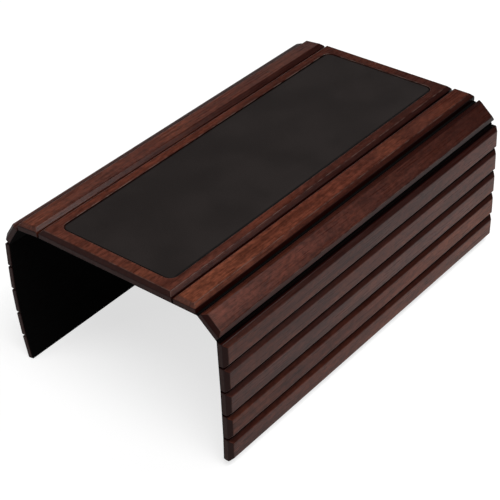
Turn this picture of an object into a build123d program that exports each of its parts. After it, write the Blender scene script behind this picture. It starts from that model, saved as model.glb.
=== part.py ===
from build123d import *
from math import acos, cos, degrees, radians, sin
import os

# A slatted wooden tray that lies over the arm of a sofa.
# A centre board with a mat let into its top carries seven slats on each side.
# A cloth glued under the board and the slats holds them together, and it is
# the hinge at every gap, so that both flaps hang down beside the arm.
#
# Frame: +X to the right, +Y to the back, +Z up. The origin is the middle of
# the board's underside, on the plane that rests on the arm's top.

# Driving dimensions, in millimetres
slat_length = 360.0
board_width = 133.0
slat_width = 21.0
slat_gap = 1.5
wood_thickness = 7.2
cloth_thickness = 0.8
edge_chamfer = 3.0
arris_radius = 0.5

# The mat and the recess that it lies in, flush with the board's top
mat_side_margin = 11.3
mat_end_margin = 13.6
mat_corner_radius = 9.0
mat_thickness = 2.0
mat_clearance = 0.8

# The cloth stops just short of the wood's ends
cloth_setback = 0.5

# Each cloth hinge turns about a line in the gap, on the cloth's lower face.
# The strip nearer the board ends in a quarter round about that line, and the
# next strip starts with a hollow that is larger by the running clearance.
hinge_nose_share = 0.7
hinge_clearance = 0.05

# How far each hinge is folded down where the tray lies over an arm, in
# degrees, counted from the board outwards. Flat is zero.
right_fold_angles = [0.0, 42.0, 47.5, 0.0, 1.0, 0.0, 1.5]
left_fold_angles = [5.5, 49.5, 32.5, 1.5, 4.0, 3.0, 3.5]

# Sizes that follow from these
slat_pitch = slat_width + slat_gap
first_hinge = (board_width + slat_gap) / 2
cloth_length = slat_length - 2 * cloth_setback
nose_radius = hinge_nose_share * cloth_thickness
hollow_radius = nose_radius + hinge_clearance
mat_width = board_width - 2 * mat_side_margin
mat_length = slat_length - 2 * mat_end_margin


def hinge_plane(side, folds, number):
    """The section plane of a slat: X runs away from the board, Y is its upper face's side."""
    turned = 0.0
    x = first_hinge
    z = 0.0
    for fold in folds[: number - 1]:
        turned += fold
        x += slat_pitch * cos(radians(turned))
        z -= slat_pitch * sin(radians(turned))
    turned += folds[number - 1]
    away = (side * cos(radians(turned)), 0, -sin(radians(turned)))
    return Plane(origin=(side * x, 0, z), x_dir=away, z_dir=(0, -side, 0))


def soften_top(part, top_side):
    """Chamfer the four edges of the upper face, then take the sharpness off the arrises."""
    top = part.faces().sort_by(top_side)[-1]
    chamfer(top.edges(), length=edge_chamfer)
    top = part.faces().sort_by(top_side)[-1]
    fillet(top.edges(), radius=arris_radius)


def make_slat(plane):
    """A slat of wood, glued on its strip of cloth."""
    with BuildPart() as slat:
        with BuildSketch(plane):
            with Locations((slat_gap / 2, cloth_thickness)):
                Rectangle(slat_width, wood_thickness, align=(Align.MIN, Align.MIN))
        extrude(amount=slat_length / 2, both=True)
        soften_top(slat, Axis(plane.origin, plane.y_dir))
    return slat


def nose(axis_x):
    """The end of a strip at the next hinge line: a quarter round that fills the bend."""
    CenterArc((axis_x, 0), nose_radius, 0, 90)
    Polyline(
        (axis_x, nose_radius),
        (axis_x - hinge_clearance, nose_radius),
        (axis_x - hinge_clearance, cloth_thickness),
    )


def make_strip(plane, outermost):
    """The cloth under one slat, from its own hinge line to the next one."""
    hollow_turn = degrees(acos(hinge_clearance / hollow_radius))
    hollow_top = hollow_radius * sin(radians(hollow_turn))
    slat_end = slat_gap / 2 + slat_width
    with BuildPart() as strip:
        with BuildSketch(plane):
            with BuildLine():
                if outermost:
                    Line((slat_end, 0), (slat_end, cloth_thickness))
                    last_low = slat_end
                    last_high = slat_end
                else:
                    nose(slat_pitch)
                    last_low = slat_pitch + nose_radius
                    last_high = slat_pitch - hinge_clearance
                Polyline(
                    (last_high, cloth_thickness),
                    (hinge_clearance, cloth_thickness),
                    (hinge_clearance, hollow_top),
                )
                CenterArc((0, 0), hollow_radius, 0, hollow_turn)
                Line((hollow_radius, 0), (last_low, 0))
            make_face()
        extrude(amount=cloth_length / 2, both=True)
    return strip


os.makedirs("parts", exist_ok=True)

# The centre board, with a shallow recess for the mat
board_top = cloth_thickness + wood_thickness
with BuildPart() as centre_board:
    with BuildSketch(Plane.XY.offset(cloth_thickness)):
        Rectangle(board_width, slat_length)
    extrude(amount=wood_thickness)
    soften_top(centre_board, Axis.Z)
    with BuildSketch(Plane.XY.offset(board_top)):
        RectangleRounded(
            mat_width + 2 * mat_clearance,
            mat_length + 2 * mat_clearance,
            mat_corner_radius + mat_clearance,
        )
    extrude(amount=-mat_thickness, mode=Mode.SUBTRACT)
centre_board.part.label = "centre_board"
export_step(centre_board.part, "parts/centre_board.step")

# The mat, on the floor of the recess
with BuildPart() as mat:
    with BuildSketch(Plane.XY.offset(board_top - mat_thickness)):
        RectangleRounded(mat_width, mat_length, mat_corner_radius)
    extrude(amount=mat_thickness)
mat.part.label = "mat"
export_step(mat.part, "parts/mat.step")

# The cloth under the board, with a hinge nose along both sides
with BuildPart() as board_cloth:
    with BuildSketch(Plane.XZ):
        with BuildLine():
            nose(first_hinge)
            Line((0, 0), (first_hinge + nose_radius, 0))
            Line((first_hinge - hinge_clearance, cloth_thickness), (0, cloth_thickness))
            mirror(about=Plane.YZ)
        make_face()
    extrude(amount=cloth_length / 2, both=True)
board_cloth.part.label = "board_cloth"
export_step(board_cloth.part, "parts/board_cloth.step")

# The two flaps: each slat with its strip of cloth
for flap, side, folds in (("right", 1, right_fold_angles), ("left", -1, left_fold_angles)):
    for number in range(1, len(folds) + 1):
        section = hinge_plane(side, folds, number)
        slat = make_slat(section)
        slat.part.label = f"{flap}_slat_{number}"
        export_step(slat.part, f"parts/{flap}_slat_{number}.step")
        strip = make_strip(section, number == len(folds))
        strip.part.label = f"{flap}_cloth_{number}"
        export_step(strip.part, f"parts/{flap}_cloth_{number}.step")
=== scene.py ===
import random
from math import cos, pi, radians, sin

import bmesh
import bpy
from mathutils import Matrix, Quaternion, Vector


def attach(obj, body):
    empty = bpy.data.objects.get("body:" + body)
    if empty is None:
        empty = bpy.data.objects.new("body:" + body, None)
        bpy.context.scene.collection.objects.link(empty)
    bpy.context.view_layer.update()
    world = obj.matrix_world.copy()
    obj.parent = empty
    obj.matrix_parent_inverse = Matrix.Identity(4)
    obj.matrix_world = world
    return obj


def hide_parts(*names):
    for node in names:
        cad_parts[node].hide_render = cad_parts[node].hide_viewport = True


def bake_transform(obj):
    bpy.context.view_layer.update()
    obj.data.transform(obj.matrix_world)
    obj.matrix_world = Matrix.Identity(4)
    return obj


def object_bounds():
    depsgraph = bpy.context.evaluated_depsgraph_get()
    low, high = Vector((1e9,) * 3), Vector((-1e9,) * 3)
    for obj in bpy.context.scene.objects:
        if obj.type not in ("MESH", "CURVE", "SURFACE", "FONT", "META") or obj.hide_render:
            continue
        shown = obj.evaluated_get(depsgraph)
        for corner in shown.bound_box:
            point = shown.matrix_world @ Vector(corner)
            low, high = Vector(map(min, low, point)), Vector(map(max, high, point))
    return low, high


# A slatted wooden tray that lies over the arm of a sofa: a centre board with
# a mat let into its top, seven slats on each side, and one cloth glued under
# them all, which is the hinge at every gap.
# Metres throughout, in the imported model's frame: +X right, +Y back, +Z up.

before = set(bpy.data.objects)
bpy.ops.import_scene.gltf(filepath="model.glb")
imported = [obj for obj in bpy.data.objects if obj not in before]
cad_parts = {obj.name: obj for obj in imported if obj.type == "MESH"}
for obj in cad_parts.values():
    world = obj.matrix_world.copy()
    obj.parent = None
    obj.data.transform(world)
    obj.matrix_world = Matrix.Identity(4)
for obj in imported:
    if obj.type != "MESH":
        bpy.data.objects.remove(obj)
cad_low, cad_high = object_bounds()

# Sizes of the wood
slat_length = 0.360
board_width = 0.133
slat_width = 0.021
slat_gap = 0.0015
wood_thickness = 0.0072
cloth_thickness = 0.0008
edge_chamfer = 0.003
arris_width = 0.0005
arris_steps = 3
slat_pitch = slat_width + slat_gap
first_hinge = (board_width + slat_gap) / 2
board_top = cloth_thickness + wood_thickness

# The recess, and the mat in it, whose rolled edge has a line of painted shade inside it
recess_width = 0.1120
recess_length = 0.3344
recess_depth = 0.0020
recess_corner = 0.0073
mat_width = 0.1104
mat_length = 0.3328
mat_corner = 0.0065
mat_drop = 0.0004
mat_edge_roll = 0.0007
mat_shade_line = 0.0005
corner_steps = 10
recess_floor = board_top - recess_depth
mat_top = board_top - mat_drop

# The cloth stops just short of the wood's ends
cloth_setback = 0.0005

# How far each hinge is folded down at rest, in degrees, from the board outwards
fold_angles = {
    "right": (0.0, 42.0, 47.5, 0.0, 1.0, 0.0, 1.5),
    "left": (5.5, 49.5, 32.5, 1.5, 4.0, 3.0, 3.5),
}
slats_per_side = 7
side_sign = {"right": 1, "left": -1}

# How close two heights count as the same, and the angle from which an edge is sharp
same_height = 1e-5
sharp_angle = radians(30)


# Small helpers for modelling

def let_go_of_everything():
    bpy.ops.object.select_all(action="DESELECT")


def take_up(piece):
    """Makes one piece the only one selected, and the active one."""
    let_go_of_everything()
    piece.select_set(True)
    bpy.context.view_layer.objects.active = piece


def put_place_in_mesh(piece):
    take_up(piece)
    bpy.ops.object.transform_apply(location=True, rotation=True, scale=True)


def add_block(name, low, high):
    """A block between two corners, to be shaped further."""
    let_go_of_everything()
    centre = [(a + b) / 2 for a, b in zip(low, high)]
    size = [b - a for a, b in zip(low, high)]
    bpy.ops.mesh.primitive_cube_add(size=1, location=centre, scale=size)
    block = bpy.context.active_object
    block.name = name
    put_place_in_mesh(block)
    return block


def bevel_edges(piece, wanted, width, steps=1):
    """Bevels the edges that wanted(edge) picks, in edit mode."""
    take_up(piece)
    bpy.ops.object.mode_set(mode="EDIT")
    bpy.ops.mesh.select_mode(type="EDGE")
    bpy.ops.mesh.select_all(action="DESELECT")
    mesh = bmesh.from_edit_mesh(piece.data)
    for edge in mesh.edges:
        edge.select_set(wanted(edge))
    bmesh.update_edit_mesh(piece.data)
    bpy.ops.mesh.bevel(offset=width, segments=steps, affect="EDGES")
    bpy.ops.object.mode_set(mode="OBJECT")


def edge_lies_at(edge, height):
    return all(abs(corner.co.z - height) < same_height for corner in edge.verts)


def edge_stands_up(edge):
    first, second = edge.verts
    return (first.co.xy - second.co.xy).length < same_height


def apply_last_modifier(piece):
    take_up(piece)
    bpy.ops.object.modifier_apply(modifier=piece.modifiers[-1].name)


def soften_arrises(piece):
    """Takes the sharpness off every arris, and keeps the flats flat."""
    modifier = piece.modifiers.new("arris", "BEVEL")
    modifier.width = arris_width
    modifier.segments = arris_steps
    modifier.limit_method = "ANGLE"
    modifier.angle_limit = sharp_angle
    modifier.harden_normals = True
    apply_last_modifier(piece)


def smooth_but_for_sharp_edges(piece):
    take_up(piece)
    bpy.ops.object.shade_smooth_by_angle(angle=sharp_angle)


def add_rounded_plate(name, width, length, low, high, corner):
    plate = add_block(name, (-width / 2, -length / 2, low), (width / 2, length / 2, high))
    bevel_edges(plate, edge_stands_up, corner, corner_steps)
    return plate


# Wood pieces carry four marks for their finish: where each point lies in the
# plank it was cut from, where the top arrises are rubbed and carry a painted highlight, how much
# darker each cut face is from darker stain and from painted shade, and how light each piece is
# from its front end to its back end. A face no wider than the widest arris is an arris, and a
# chamfer leans between the least and the most lean.
widest_arris = 0.0006
least_lean = 0.5
most_lean = 0.9
# Painted shade: near black on the recess floor, and deeper on cut faces towards the back end
recess_floor_painted_shade = 0.97
arris_darkness = 0.30
painted_back_shade = 0.80
darkening_curve = 1.3

# How dark the cut faces are at the front, from darker stain and from painted shade that deepens
# into the gaps: towards the board and away from it, at the chamfer's upper and lower edge and at
# the wall's top and foot; then the chamfers across the ends. Then from where on the top arrises
# are rubbed and carry a painted highlight, and how much more of it the mat's recess gets.
board_cuts = {
    "inner": (0.25, 0.80, 0.97, 0.97),
    "outer": (0.20, 0.78, 0.97, 0.97),
    "end": 0.25,
    "rub_and_highlight_from": -board_width,
    "recess_rub_and_highlight": 2.0,
}
flat_slat_cuts = {
    "inner": (0.35, 0.60, 0.50, 0.95),
    "outer": (0.15, 0.50, 0.97, 0.97),
    "end": 0.45,
    "rub_and_highlight_from": slat_pitch / 2,
    "recess_rub_and_highlight": 1.0,
}
folded_slat_cuts = {
    "inner": (0.25, 0.62, 0.64, 1.0),
    "outer": (0.25, 0.50, 0.97, 0.97),
    "end": 0.74,
    "rub_and_highlight_from": slat_pitch / 2,
    "recess_rub_and_highlight": 1.0,
}
slat_cuts = {
    "inner": (0.66, 0.70, 0.97, 0.97),
    "outer": (0.30, 0.55, 0.97, 0.97),
    "end": 0.74,
    "rub_and_highlight_from": slat_pitch / 2,
    "recess_rub_and_highlight": 1.0,
}
# Beside a wide gap the inner wall runs down into the painted shadow at the gap's foot
wide_gap_slat_cuts = {**slat_cuts, "inner": (0.66, 0.70, 0.93, 1.07)}


def share_of_length(place, turned):
    """From 0 at the front end to 1 at the back end; a left slat is marked before its half turn."""
    return max(0.0, 0.5 + place.y * turned / slat_length)


def face_width(mesh, face):
    """A face's area over its longest edge."""
    corners = [mesh.vertices[index].co for index in face.vertices]
    edges = zip(corners, corners[1:] + corners[:1])
    return face.area / max((second - first).length for first, second in edges)


def cut_darkness(face, flat, depth, cuts):
    """How dark a cut face is at a depth below the top, in metres: darker stain on chamfers and
    arrises, painted shade down the walls and on the recess floor.
    """
    sideways = abs(face.normal.y) < least_lean
    upper, lower, wall_top, wall_foot = cuts["inner" if face.normal.x < 0 else "outer"]
    if not flat:
        low = board_top - face.center.z > edge_chamfer - arris_width
        return wall_top if low else arris_darkness
    if least_lean < face.normal.z < most_lean:
        return upper + (lower - upper) * depth / edge_chamfer if sideways else cuts["end"]
    if face.normal.z > most_lean:
        return recess_floor_painted_shade if face.center.z < board_top - recess_depth / 2 else 0.0
    down_wall = (depth - edge_chamfer) / (wood_thickness - edge_chamfer)
    return wall_top + (wall_foot - wall_top) * max(0.0, down_wall) if sideways else 0.0


def mark_cuts(piece, cuts, turned):
    """Top arrises are rubbed and carry a painted highlight. Cut faces get darker stain, and
    painted shade towards the gaps and towards the back.
    """
    mesh = piece.data
    is_flat = [face_width(mesh, face) > widest_arris for face in mesh.polygons]
    on_flat = set()
    for face, flat in zip(mesh.polygons, is_flat):
        if flat:
            on_flat.update(face.vertices)
    rub_and_highlight = mesh.attributes.new("rub_and_highlight", "FLOAT", "POINT")
    for vertex, entry in zip(mesh.vertices, rub_and_highlight.data):
        # Top arrises past the given place are rubbed and carry a painted highlight, more of it
        # round the mat's recess
        near_top = vertex.co.z > board_top - arris_width
        rubbed_and_lit = near_top and vertex.co.x > cuts["rub_and_highlight_from"]
        across, along = abs(vertex.co.x), abs(vertex.co.y)
        round_mat = max(across - recess_width / 2, along - recess_length / 2) < arris_width
        rub_and_highlight_strength = cuts["recess_rub_and_highlight"] if round_mat else 1.0
        entry.value = rub_and_highlight_strength * float(rubbed_and_lit and vertex.index not in on_flat)
    darkness = mesh.attributes.new("darkness", "FLOAT", "CORNER")
    for face, flat in zip(mesh.polygons, is_flat):
        for loop in face.loop_indices:
            place = mesh.vertices[mesh.loops[loop].vertex_index].co
            at_front = cut_darkness(face, flat, board_top - place.z, cuts)
            # Painted shade grows towards the back end of each piece
            far = share_of_length(place, turned) ** darkening_curve if at_front > 0 else 0.0
            darkness.data[loop].value = at_front + (1.0 - at_front) * painted_back_shade * far


def mark_plank_place(piece, offset):
    mesh = piece.data
    place = mesh.attributes.new("plank_place", "FLOAT_VECTOR", "POINT")
    for vertex, entry in zip(mesh.vertices, place.data):
        entry.vector = vertex.co + offset


def mark_lightness_along(piece, at_front, at_back, turned):
    """How much lighter than the darkest stain a piece is, changing from its front end to its back
    end; above 1 it turns orange.
    """
    mesh = piece.data
    lightness_along = mesh.attributes.new("lightness_along", "FLOAT", "POINT")
    for vertex, entry in zip(mesh.vertices, lightness_along.data):
        entry.value = at_front + (at_back - at_front) * share_of_length(vertex.co, turned)


# Finishes

# A mix node has sockets for numbers and for colours under the same names, so the
# ones for colours are picked by their place
mix_share = 0
mix_first = 6
mix_second = 7
mix_result = 2


def start_finish(name):
    material = bpy.data.materials.new(name)
    material.use_nodes = True
    tree = material.node_tree
    shader = tree.nodes["Principled BSDF"]
    return material, tree, shader


def feed(tree, socket, value):
    """Gives a socket a plain value or another node's output."""
    if isinstance(value, bpy.types.NodeSocket):
        tree.links.new(value, socket)
    else:
        socket.default_value = value


def add_node(tree, kind, settings=None, **inputs):
    node = tree.nodes.new(kind)
    for name, value in (settings or {}).items():
        setattr(node, name, value)
    for name, value in inputs.items():
        feed(tree, node.inputs[name], value)
    return node


def attribute(tree, name):
    return add_node(tree, "ShaderNodeAttribute", {"attribute_name": name})


def noise(tree, place, scale, detail, roughness=0.5):
    node = add_node(
        tree, "ShaderNodeTexNoise", Vector=place, Scale=scale, Detail=detail, Roughness=roughness
    )
    return node.outputs["Fac"]


def grain(tree, place, run, scale, detail, roughness=0.5):
    """A noise that runs along the plank: run is how quickly it changes each way."""
    stretched = add_node(tree, "ShaderNodeMapping", Vector=place, Scale=run)
    return noise(tree, stretched.outputs["Vector"], scale, detail, roughness)


def spread(tree, value, low, high, new_low=0.0, new_high=1.0):
    """Stretches the range low to high over new_low to new_high, smoothly."""
    node = add_node(tree, "ShaderNodeMapRange", {"interpolation_type": "SMOOTHSTEP"}, Value=value)
    node.inputs["From Min"].default_value = low
    node.inputs["From Max"].default_value = high
    node.inputs["To Min"].default_value = new_low
    node.inputs["To Max"].default_value = new_high
    return node.outputs["Result"]


def calculate(tree, operation, first, second):
    node = tree.nodes.new("ShaderNodeMath")
    node.operation = operation
    for socket, value in zip(node.inputs, (first, second)):
        feed(tree, socket, value)
    return node.outputs["Value"]


def blend_colours(tree, share, first, second, kind="MIX"):
    """A share of 0 keeps the first colour, and a share of 1 gives the second."""
    node = tree.nodes.new("ShaderNodeMix")
    node.data_type = "RGBA"
    node.blend_type = kind
    for place, value in ((mix_share, share), (mix_first, first), (mix_second, second)):
        opaque = (*value, 1.0) if isinstance(value, tuple) else value
        feed(tree, node.inputs[place], opaque)
    return node.outputs[mix_result]


def add_relief(tree, shader, height, distance, strength):
    bump = add_node(tree, "ShaderNodeBump", Height=height, Distance=distance, Strength=strength)
    tree.links.new(bump.outputs["Normal"], shader.inputs["Normal"])


# Colours of the wood: the stain from the darkest on, rubbed arrises with a painted highlight, cut
# faces in darker stain and painted shade, and the painted shadow at the foot of a wide gap
stain_black = (0.0115, 0.0014, 0.0006)
stain_plum = (0.060, 0.0200, 0.0150)
stain_red = (0.107, 0.0270, 0.0145)
stain_orange = (0.168, 0.0500, 0.0260)
rubbed_and_highlit_wood = (0.140, 0.0950, 0.0800)
cut_stain_and_shade = (0.0110, 0.0016, 0.0010)
painted_gap_shadow = (0.0012, 0.0004, 0.0004)

# Patterns in the wood: how quickly each changes across, along and through the
# plank, then its scale, its detail and how rough it is
broad_grain = ((1.0, 0.035, 1.0), 190.0, 3.0)
fine_grain = ((1.0, 0.030, 1.0), 900.0, 3.0, 0.6)
pores = ((1.0, 0.045, 1.0), 1500.0, 1.0)
clouds = ((1.0, 0.35, 1.0), 110.0, 2.0)
flecks = ((1.0, 0.45, 1.0), 420.0, 3.0, 0.6)
patch_run = (0.55, 0.28, 0.55)
patch_detail = 2.0
hue_finer_by = 1.7
# Spots that break up the rubbing and painted highlight along the arrises
rub_and_highlight_spots = (120.0, 3.0)

# How each pattern is read: its low and its high value, and the share of the
# colour, or the brightness, that each of the two becomes
patch_to_red = (0.36, 0.60, 0.25, 0.75)
hue_to_orange = (0.50, 0.72, 0.0, 0.35)
lighter_to_orange = (0.95, 1.45, 0.0, 0.9)
broad_grain_to_black = (0.34, 0.62, 0.38, 0.0)
fine_grain_to_black = (0.35, 0.65, 0.20, 0.0)
pores_to_black = (0.62, 0.72, 0.0, 0.45)
clouds_to_brightness = (0.30, 0.70, 0.86, 1.14)
flecks_to_brightness = (0.30, 0.70, 0.68, 1.32)
darkness_to_gap_shadow = (0.975, 1.0)
spots_to_rub_and_highlight = (0.38, 0.62, 0.0, 0.32)

# The varnish follows the fine grain, and grain and pores show in its surface
grain_in_varnish = (0.3, 0.7)
glossier_by = 0.05
duller_by = 0.08
broad_relief = 0.6
pore_relief = 0.8
wood_relief = (0.00006, 0.5)


def stained_wood(name, patch_scale, roughness, specular, lightness):
    """Dark stain under satin varnish: straight grain, patches of hue, rubbed arrises with a
    painted highlight, cut faces with painted shade.
    """
    material, tree, shader = start_finish(name)
    place = attribute(tree, "plank_place").outputs["Vector"]
    lightness_along = attribute(tree, "lightness_along").outputs["Fac"]
    rub_and_highlight = attribute(tree, "rub_and_highlight").outputs["Fac"]
    darkness = attribute(tree, "darkness").outputs["Fac"]

    broad = grain(tree, place, *broad_grain)
    fine = grain(tree, place, *fine_grain)
    patch = grain(tree, place, patch_run, patch_scale, patch_detail)
    hue = grain(tree, place, patch_run, patch_scale * hue_finer_by, patch_detail)
    pore_mark = spread(tree, grain(tree, place, *pores), *pores_to_black)
    cloudy = spread(tree, grain(tree, place, *clouds), *clouds_to_brightness)
    flecked = spread(tree, grain(tree, place, *flecks), *flecks_to_brightness)
    rub_and_highlight_share = spread(tree, noise(tree, place, *rub_and_highlight_spots), *spots_to_rub_and_highlight)

    base = blend_colours(tree, spread(tree, patch, *patch_to_red), stain_plum, stain_red)
    base = blend_colours(tree, spread(tree, hue, *hue_to_orange), base, stain_orange)
    base = blend_colours(tree, spread(tree, lightness_along, *lighter_to_orange), base, stain_orange)
    base = blend_colours(tree, spread(tree, broad, *broad_grain_to_black), base, stain_black)
    base = blend_colours(tree, spread(tree, fine, *fine_grain_to_black), base, stain_black)
    base = blend_colours(tree, pore_mark, base, stain_black)
    mottle = calculate(tree, "MULTIPLY", cloudy, flecked)
    base = blend_colours(tree, 1.0, base, mottle, "MULTIPLY")
    depth = calculate(tree, "SUBTRACT", 1.0, calculate(tree, "MULTIPLY", lightness_along, lightness))
    base = blend_colours(tree, depth, base, stain_black)

    # Cut faces get darker stain and painted shade, and the foot of a wide gap a painted shadow
    gap_shadow_share = spread(tree, darkness, *darkness_to_gap_shadow)
    stain_and_shade_colour = blend_colours(tree, gap_shadow_share, cut_stain_and_shade, painted_gap_shadow)
    base = blend_colours(tree, darkness, base, stain_and_shade_colour)
    # Rubbed arrises: lighter from rubbing and from a painted highlight
    base = blend_colours(tree, calculate(tree, "MULTIPLY", rub_and_highlight, rub_and_highlight_share), base, rubbed_and_highlit_wood)
    tree.links.new(base, shader.inputs["Base Color"])

    gloss = spread(tree, fine, *grain_in_varnish, roughness - glossier_by, roughness + duller_by)
    tree.links.new(gloss, shader.inputs["Roughness"])
    shader.inputs["Specular IOR Level"].default_value = specular

    raised = calculate(tree, "ADD", calculate(tree, "MULTIPLY", broad, broad_relief), fine)
    sunk = calculate(tree, "MULTIPLY", pore_mark, pore_relief)
    add_relief(tree, shader, calculate(tree, "SUBTRACT", raised, sunk), *wood_relief)
    return material


# The mat: its colours, with painted shade for its edge, its cloudy, pebbled and speckled patterns,
# and how they are read for wear, hollows and gloss
mat_black = (0.0114, 0.0084, 0.0078)
mat_black_worn = (0.0158, 0.0120, 0.0112)
mat_hollow = (0.0080, 0.0070, 0.0066)
mat_edge_shade = (0.0020, 0.0016, 0.0015)
mat_clouds = (22.0, 3.0)
mat_specks = (2600.0, 2.0)
pebble_scale = 1100.0
clouds_to_worn = (0.35, 0.68)
pebbles_to_hollow = (0.25, 0.75, 0.0, 0.25)
clouds_to_roughness = (0.3, 0.7, 0.62, 0.72)
mat_specular = 0.12
mat_relief = (0.00010, 0.4)


def mat_finish():
    """A matt black-brown mat with a fine pebbled grain and painted shade along its edge."""
    material, tree, shader = start_finish("matt_mat")
    place = add_node(tree, "ShaderNodeTexCoord").outputs["Object"]
    painted_edge_shade = attribute(tree, "painted_edge_shade").outputs["Fac"]
    cloudy = noise(tree, place, *mat_clouds)
    speck = noise(tree, place, *mat_specks)
    voronoi = add_node(tree, "ShaderNodeTexVoronoi", Vector=place, Scale=pebble_scale)
    pebble = voronoi.outputs["Distance"]
    base = blend_colours(tree, spread(tree, cloudy, *clouds_to_worn), mat_black, mat_black_worn)
    base = blend_colours(tree, spread(tree, pebble, *pebbles_to_hollow), base, mat_hollow)
    base = blend_colours(tree, painted_edge_shade, base, mat_edge_shade)
    tree.links.new(base, shader.inputs["Base Color"])
    gloss = spread(tree, cloudy, *clouds_to_roughness)
    tree.links.new(gloss, shader.inputs["Roughness"])
    shader.inputs["Specular IOR Level"].default_value = mat_specular
    add_relief(tree, shader, calculate(tree, "ADD", pebble, speck), *mat_relief)
    return material


# The cloth: its colours, its weave, and the lint on it
cloth_black = (0.0010, 0.0009, 0.0009)
cloth_thread = (0.0034, 0.0031, 0.0030)
thread_pitch = 0.0009
lint_specks = (700.0, 3.0)
weave_to_thread = (-0.9, 0.9)
lint_to_thread = (0.45, 0.75, 0.0, 0.4)
cloth_roughness = 0.9
cloth_specular = 0.02
lint_relief = 0.6
cloth_relief = (0.00012, 0.6)


def cloth_finish():
    """A black woven cloth, its threads crossing one over one."""
    material, tree, shader = start_finish("black_cloth")
    place = attribute(tree, "weave_place").outputs["Vector"]
    parts = add_node(tree, "ShaderNodeSeparateXYZ", Vector=place)
    waves = []
    for axis in ("X", "Y"):
        angle = calculate(tree, "MULTIPLY", parts.outputs[axis], pi / thread_pitch)
        waves.append(calculate(tree, "SINE", angle, 0.0))
    weave = calculate(tree, "MULTIPLY", *waves)
    lint = noise(tree, place, *lint_specks)
    base = blend_colours(tree, spread(tree, weave, *weave_to_thread), cloth_black, cloth_thread)
    base = blend_colours(tree, spread(tree, lint, *lint_to_thread), base, cloth_thread)
    tree.links.new(base, shader.inputs["Base Color"])
    shader.inputs["Roughness"].default_value = cloth_roughness
    shader.inputs["Specular IOR Level"].default_value = cloth_specular
    height = calculate(tree, "ADD", weave, calculate(tree, "MULTIPLY", lint, lint_relief))
    add_relief(tree, shader, height, *cloth_relief)
    return material


wood = stained_wood(
    "stained_wood", patch_scale=26.0, roughness=0.30, specular=0.100, lightness=1.0
)
dull_wood = stained_wood(
    "stained_wood_dull", patch_scale=26.0, roughness=0.30, specular=0.065, lightness=1.0
)
end_wood = stained_wood(
    "stained_end_grain", patch_scale=40.0, roughness=0.52, specular=0.095, lightness=0.09
)
mat_material = mat_finish()
cloth_material = cloth_finish()

# How far in from the wood's ends a face can still be an end face
end_reach = 0.004


def give_wood_finish(piece, finish, end_lean):
    """Long faces get the given finish, and end faces that lean past end_lean the end grain's."""
    piece.data.materials.clear()
    piece.data.materials.append(finish)
    piece.data.materials.append(end_wood)
    for face in piece.data.polygons:
        at_end = abs(face.center.y) > slat_length / 2 - end_reach
        face.material_index = int(at_end and abs(face.normal.y) > end_lean)


# The centre board
board_plank_place = Vector((0.31, 0.12, 0.05))
board_lightness_front_back = (1.08, 0.42)
board = add_block(
    "board",
    (-board_width / 2, -slat_length / 2, cloth_thickness),
    (board_width / 2, slat_length / 2, board_top),
)
bevel_edges(board, lambda edge: edge_lies_at(edge, board_top), edge_chamfer)
cutter = add_rounded_plate(
    "recess_cutter",
    recess_width,
    recess_length,
    recess_floor,
    board_top + recess_depth,
    recess_corner,
)
cut = board.modifiers.new("recess", "BOOLEAN")
cut.operation = "DIFFERENCE"
cut.solver = "EXACT"
cut.object = cutter
apply_last_modifier(board)
bpy.data.objects.remove(cutter)
soften_arrises(board)
mark_cuts(board, board_cuts, side_sign["right"])
mark_plank_place(board, board_plank_place)
mark_lightness_along(board, *board_lightness_front_back, side_sign["right"])
give_wood_finish(board, wood, least_lean)
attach(board, "board")
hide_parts("centre_board")

# The mat, with its edge rolled and a narrow line of faces inside the roll; the roll, the sides and
# that line along the long sides carry painted shade
mat = add_rounded_plate("mat_inlay", mat_width, mat_length, recess_floor, mat_top, mat_corner)
bevel_edges(mat, lambda edge: edge_lies_at(edge, mat_top), mat_edge_roll, arris_steps)
take_up(mat)
bpy.ops.object.mode_set(mode="EDIT")
bpy.ops.mesh.select_mode(type="FACE")
bpy.ops.mesh.select_all(action="DESELECT")
mesh = bmesh.from_edit_mesh(mat.data)
for face in mesh.faces:
    face.select_set(face.normal.z > most_lean and face.calc_area() > mat_width * mat_length / 2)
bmesh.update_edit_mesh(mat.data)
bpy.ops.mesh.inset(thickness=mat_shade_line)
bpy.ops.object.mode_set(mode="OBJECT")
smooth_but_for_sharp_edges(mat)
# Painted shade on the roll and the sides all round, and on the line inside the roll along the long
# sides
painted_edge_shade = mat.data.attributes.new("painted_edge_shade", "FLOAT", "FACE")
for face, entry in zip(mat.data.polygons, painted_edge_shade.data):
    along_side = abs(face.center.x) > mat_width / 2 - mat_edge_roll - mat_shade_line
    entry.value = float(face.normal.z < most_lean or along_side)
mat.data.materials.append(mat_material)
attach(mat, "board")
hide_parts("mat")


# The slats: one is made flat, and the fourteen are copies of it

def slat_placing(flap, number):
    """Turns a slat that lies flat beyond a hinge at the origin into its place."""
    side = side_sign[flap]
    turned = 0.0
    place = Vector((first_hinge, 0.0, 0.0))
    for fold in fold_angles[flap][: number - 1]:
        turned += radians(fold)
        place += Vector((slat_pitch * cos(turned), 0.0, -slat_pitch * sin(turned)))
    turned += radians(fold_angles[flap][number - 1])
    turn_down = Matrix.Rotation(turned, 4, "Y")
    facing = Matrix.Rotation(0.0 if side > 0 else pi, 4, "Z")
    return facing @ Matrix.Translation(place) @ turn_down


pattern = add_block(
    "slat",
    (slat_gap / 2, -slat_length / 2, cloth_thickness),
    (slat_gap / 2 + slat_width, slat_length / 2, board_top),
)
bevel_edges(pattern, lambda edge: edge_lies_at(edge, board_top), edge_chamfer)
soften_arrises(pattern)

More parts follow.
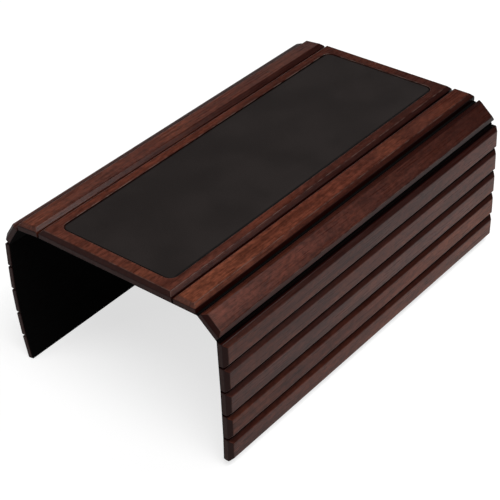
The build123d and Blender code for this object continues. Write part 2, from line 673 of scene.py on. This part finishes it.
# How light each slat is at its front and its back end, from the board
# outwards, and which slats have a duller varnish
lightness_front_back = {
    "right": (
        (1.33, 0.60),
        (1.07, 0.20),
        (0.64, 0.88),
        (0.67, 1.10),
        (0.68, 0.98),
        (0.78, 1.36),
        (1.00, 1.24),
    ),
    "left": (
        (1.15, 0.70),
        (0.90, 0.70),
        (0.80, 0.90),
        (0.90, 0.75),
        (0.80, 0.85),
        (0.90, 0.80),
        (0.90, 1.00),
    ),
}
dull_slats = (("right", 1), ("right", 6), ("right", 7))
cuts_by_number = {1: flat_slat_cuts, 2: folded_slat_cuts, 3: wide_gap_slat_cuts}

# Each slat is cut from a place of its own in the plank
plank_spread = 3.0
cut_order_seed = 7
cut_order = random.Random(cut_order_seed)
for flap in ("right", "left"):
    for number in range(1, slats_per_side + 1):
        slat = pattern.copy()
        slat.data = pattern.data.copy()
        slat.name = f"{flap}_wood_{number}"
        bpy.context.scene.collection.objects.link(slat)
        offset = Vector([cut_order.uniform(-plank_spread, plank_spread) for axis in "XYZ"])
        mark_plank_place(slat, offset)
        mark_cuts(slat, cuts_by_number.get(number, slat_cuts), side_sign[flap])
        front, back = lightness_front_back[flap][number - 1]
        mark_lightness_along(slat, front, back, side_sign[flap])
        finish = dull_wood if (flap, number) in dull_slats else wood
        give_wood_finish(slat, finish, most_lean if number == 1 else least_lean)
        slat.data.transform(slat_placing(flap, number))
        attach(slat, f"{flap}_slat_{number}")
        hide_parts(f"{flap}_slat_{number}")
bpy.data.objects.remove(pattern)

# The cloth: each length runs from the middle of one piece of wood to the
# middle of the next, and bends in the gap between them
columns_in_gap = 12
columns_beside = 6
rows_along = 60


def ease(share):
    share = max(0.0, min(1.0, share))
    return share * share * (3 - 2 * share)


def places_between(start, end, steps):
    """Evenly spaced places from the start up to the last one before the end."""
    return [start + (end - start) * i / steps for i in range(steps)]


def add_cloth(flap, number):
    slat_middle = slat_gap / 2 + slat_width / 2
    slat_far_edge = slat_gap / 2 + slat_width
    parent_reach = first_hinge if number == 1 else slat_middle
    child_reach = slat_far_edge if number == slats_per_side else slat_middle
    length = slat_length - 2 * cloth_setback
    fold = radians(fold_angles[flap][number - 1])
    placing = slat_placing(flap, number)

    # Laid flat, with most of its columns in the gap
    columns = places_between(-parent_reach, -slat_gap / 2, columns_beside)
    columns += places_between(-slat_gap / 2, slat_gap / 2, columns_in_gap)
    columns += places_between(slat_gap / 2, child_reach, columns_beside)
    columns.append(child_reach)
    last_column = len(columns) - 1
    let_go_of_everything()
    bpy.ops.mesh.primitive_grid_add(x_subdivisions=last_column, y_subdivisions=rows_along, size=1)
    cloth = bpy.context.active_object
    cloth.name = f"{flap}_backing_{number}"
    for vertex in cloth.data.vertices:
        column = round((vertex.co.x + 0.5) * last_column)
        vertex.co = Vector((columns[column], vertex.co.y * length, 0.0))
    wall = cloth.modifiers.new("thickness", "SOLIDIFY")
    wall.thickness = cloth_thickness
    wall.offset = 1.0
    apply_last_modifier(cloth)
    cut_place = first_hinge + (number - 1) * slat_pitch
    weave = cloth.data.attributes.new("weave_place", "FLOAT_VECTOR", "POINT")
    for vertex, entry in zip(cloth.data.vertices, weave.data):
        entry.vector = Vector((vertex.co.x + cut_place, vertex.co.y, 0.0))

    # Bent in the gap and put in its place
    for vertex in cloth.data.vertices:
        back_turn = fold * (ease(vertex.co.x / slat_gap + 0.5) - 1.0)
        vertex.co = Matrix.Rotation(back_turn, 4, "Y") @ vertex.co
    cloth.data.transform(placing)
    smooth_but_for_sharp_edges(cloth)
    cloth.data.materials.append(cloth_material)

    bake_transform(cloth)
    if number == 1:
        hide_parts("board_cloth")
    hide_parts(f"{flap}_cloth_{number}")


for flap in ("right", "left"):
    for number in range(1, slats_per_side + 1):
        add_cloth(flap, number)

# The floor and the low wall round it. Both glow where they are seen, straight
# on or in a shiny surface, and light nothing else.
floor_radius = 6.0
floor_corners = 96
wall_height = 1.7
wall_sweep = 0.9
floor_grey = (0.35, 0.35, 0.35, 1.0)
white = (1.0, 1.0, 1.0, 1.0)
own_light = 0.70
let_go_of_everything()
floor_height = min(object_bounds()[0].z, cad_low.z)
bpy.ops.mesh.primitive_circle_add(
    vertices=floor_corners,
    radius=floor_radius,
    fill_type="NGON",
    location=(0.0, 0.0, floor_height),
)
floor = bpy.context.active_object
floor.name = "floor"
put_place_in_mesh(floor)
bpy.ops.object.mode_set(mode="EDIT")
bpy.ops.mesh.select_mode(type="EDGE")
bpy.ops.mesh.select_all(action="SELECT")
bpy.ops.mesh.region_to_loop()
bpy.ops.mesh.extrude_region_move(TRANSFORM_OT_translate={"value": (0.0, 0.0, wall_height)})
bpy.ops.object.mode_set(mode="OBJECT")
bevel_edges(floor, lambda edge: edge_lies_at(edge, floor_height), wall_sweep, corner_steps)
smooth_but_for_sharp_edges(floor)
floor_material, tree, shader = start_finish("pale_floor")
shader.inputs["Base Color"].default_value = floor_grey
shader.inputs["Roughness"].default_value = 1.0
shader.inputs["Specular IOR Level"].default_value = 0.0
seen_by = add_node(tree, "ShaderNodeLightPath").outputs
seen = calculate(tree, "MAXIMUM", seen_by["Is Camera Ray"], seen_by["Is Glossy Ray"])
seen = calculate(tree, "MAXIMUM", seen, seen_by["Is Transmission Ray"])
strength = calculate(tree, "MULTIPLY", seen, own_light)
shader.inputs["Emission Color"].default_value = white
tree.links.new(strength, shader.inputs["Emission Strength"])
floor.data.materials.append(floor_material)

# Light: an even grey sky, a soft lamp from the upper right, and two softboxes,
# whose reflections give the chamfers at the back and at the front their sheen
sky_light = 0.06
world = bpy.data.worlds.new("studio")
bpy.context.scene.world = world
world.use_nodes = True
sky = world.node_tree.nodes["Background"]
sky.inputs["Color"].default_value = white
sky.inputs["Strength"].default_value = sky_light


def hang_up(lamp, facing_back):
    """Puts a lamp in the scene, shining against the given direction."""
    holder = bpy.data.objects.new(lamp.name, lamp)
    holder.rotation_mode = "QUATERNION"
    holder.rotation_quaternion = facing_back.to_track_quat("Z", "Y")
    bpy.context.scene.collection.objects.link(holder)
    return holder


def add_lamp(name, from_direction, strength, softness):
    lamp = bpy.data.lights.new(name, "SUN")
    lamp.energy = strength
    lamp.angle = radians(softness)
    hang_up(lamp, Vector(from_direction))


def add_softbox(name, place, aim_at, width, brightness):
    """A square lamp whose face shines at the given brightness, where 1 is white."""
    lamp = bpy.data.lights.new(name, "AREA")
    lamp.shape = "SQUARE"
    lamp.size = width
    lamp.energy = brightness * pi * width * width
    holder = hang_up(lamp, Vector(place) - Vector(aim_at))
    holder.location = place
    holder.visible_camera = False


softbox_aim = (0.0, -0.10, 0.0)
add_lamp("key_lamp", from_direction=(0.40, -0.15, 0.90), strength=2.35, softness=40)
add_softbox("back_softbox", (0.48, 0.34, 0.74), softbox_aim, width=0.3, brightness=15.0)
add_softbox("front_softbox", (-0.64, -0.87, 0.73), softbox_aim, width=0.6, brightness=3.2)

# The camera stands to the right of the front, above the tray
camera_place = Vector((0.63826, -0.75508, 0.62563))
camera_direction = Vector((-0.530320, 0.614130, -0.584470))
camera_roll = radians(-2.857)
lens_length = 105.06
sensor_width = 36.0
camera_data = bpy.data.cameras.new("camera")
camera_data.lens = lens_length
camera_data.sensor_width = sensor_width
camera = bpy.data.objects.new("camera", camera_data)
camera.location = camera_place
camera.rotation_mode = "QUATERNION"
aim = camera_direction.to_track_quat("-Z", "Y")
camera.rotation_quaternion = aim @ Quaternion((0.0, 0.0, 1.0), camera_roll)
bpy.context.scene.collection.objects.link(camera)
bpy.context.scene.camera = camera
bpy.context.scene.view_settings.view_transform = "Standard"
